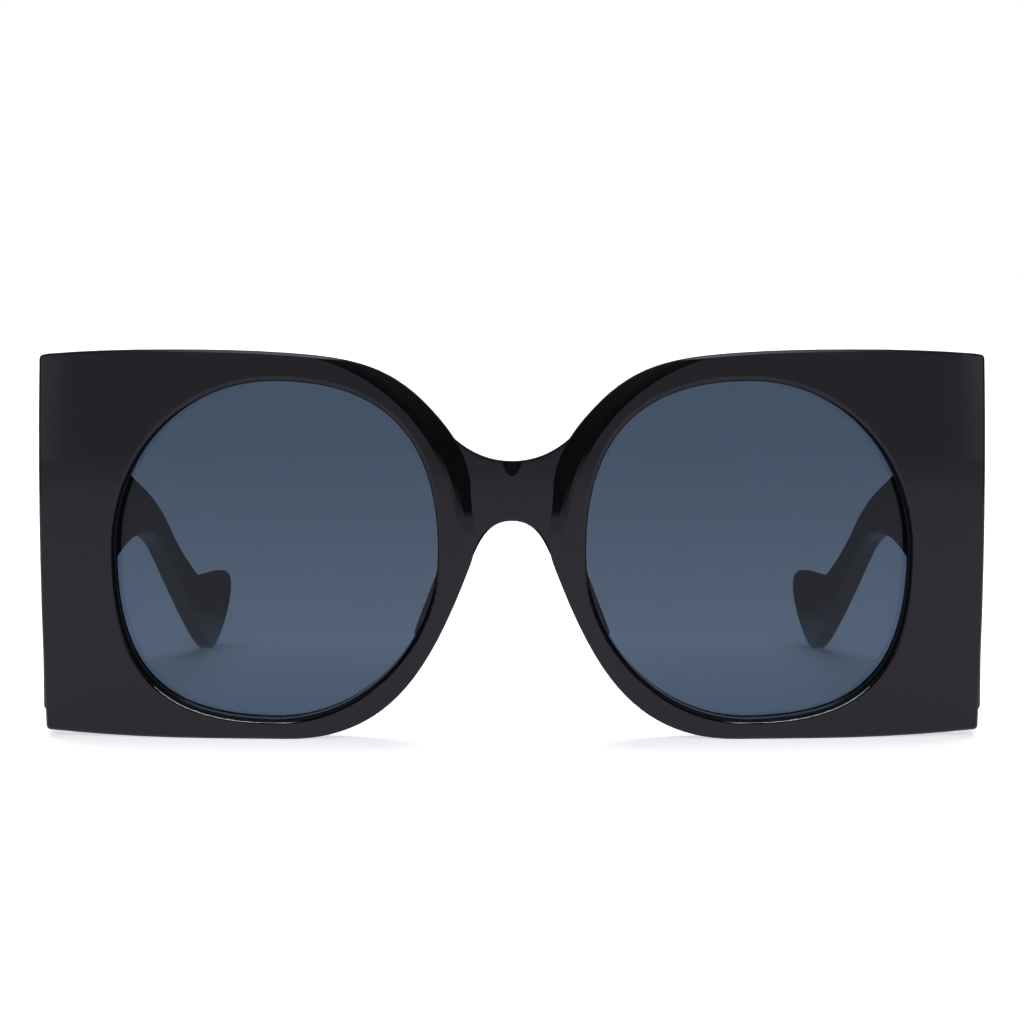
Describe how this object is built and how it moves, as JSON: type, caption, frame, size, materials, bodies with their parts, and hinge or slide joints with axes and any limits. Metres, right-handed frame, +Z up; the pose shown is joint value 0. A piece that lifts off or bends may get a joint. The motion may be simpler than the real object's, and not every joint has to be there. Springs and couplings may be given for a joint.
{
  "type": "oversized sunglasses",
  "caption": "Oversized square sunglasses with a glossy black moulded front, round tinted lenses and tall folding temples with hooked tips.",
  "frame": {"origin": "on the surface the open glasses stand on, at the middle of their width and depth", "axes": "+X across the face to the wearer's left, +Y from the front to the temple tips, +Z up"},
  "size_m": [0.152, 0.1515, 0.062],
  "materials": {
    "black_plastic": "high gloss",
    "lens_tint": "clear tinted",
    "hinge_metal": "satin",
    "screw_metal": "bright"
  },
  "bodies": {
    "front": {"front_frame": "black_plastic", "left_lens": "lens_tint", "left_nose_pad": "black_plastic", "left_front_hinge": "hinge_metal", "left_hinge_screw": "screw_metal", "left_front_rivets": "screw_metal", "right_lens": "lens_tint", "right_nose_pad": "black_plastic", "right_front_hinge": "hinge_metal", "right_hinge_screw": "screw_metal", "right_front_rivets": "screw_metal"},
    "left_arm": {"left_temple": "black_plastic", "left_temple_hinge": "hinge_metal", "left_temple_rivets": "screw_metal"},
    "right_arm": {"right_temple": "black_plastic", "right_temple_hinge": "hinge_metal", "right_temple_rivets": "screw_metal"}
  },
  "joints": [
    {"name": "left_temple_fold", "type": "hinge", "parent": "front", "child": "left_arm", "pos_m": [0.0696, -0.0625, 0.042], "axis": [0, 0, 1], "range_deg": [0, 85]},
    {"name": "right_temple_fold", "type": "hinge", "parent": "front", "child": "right_arm", "pos_m": [-0.0696, -0.0625, 0.042], "axis": [0, 0, -1], "range_deg": [0, 80]}
  ]
}
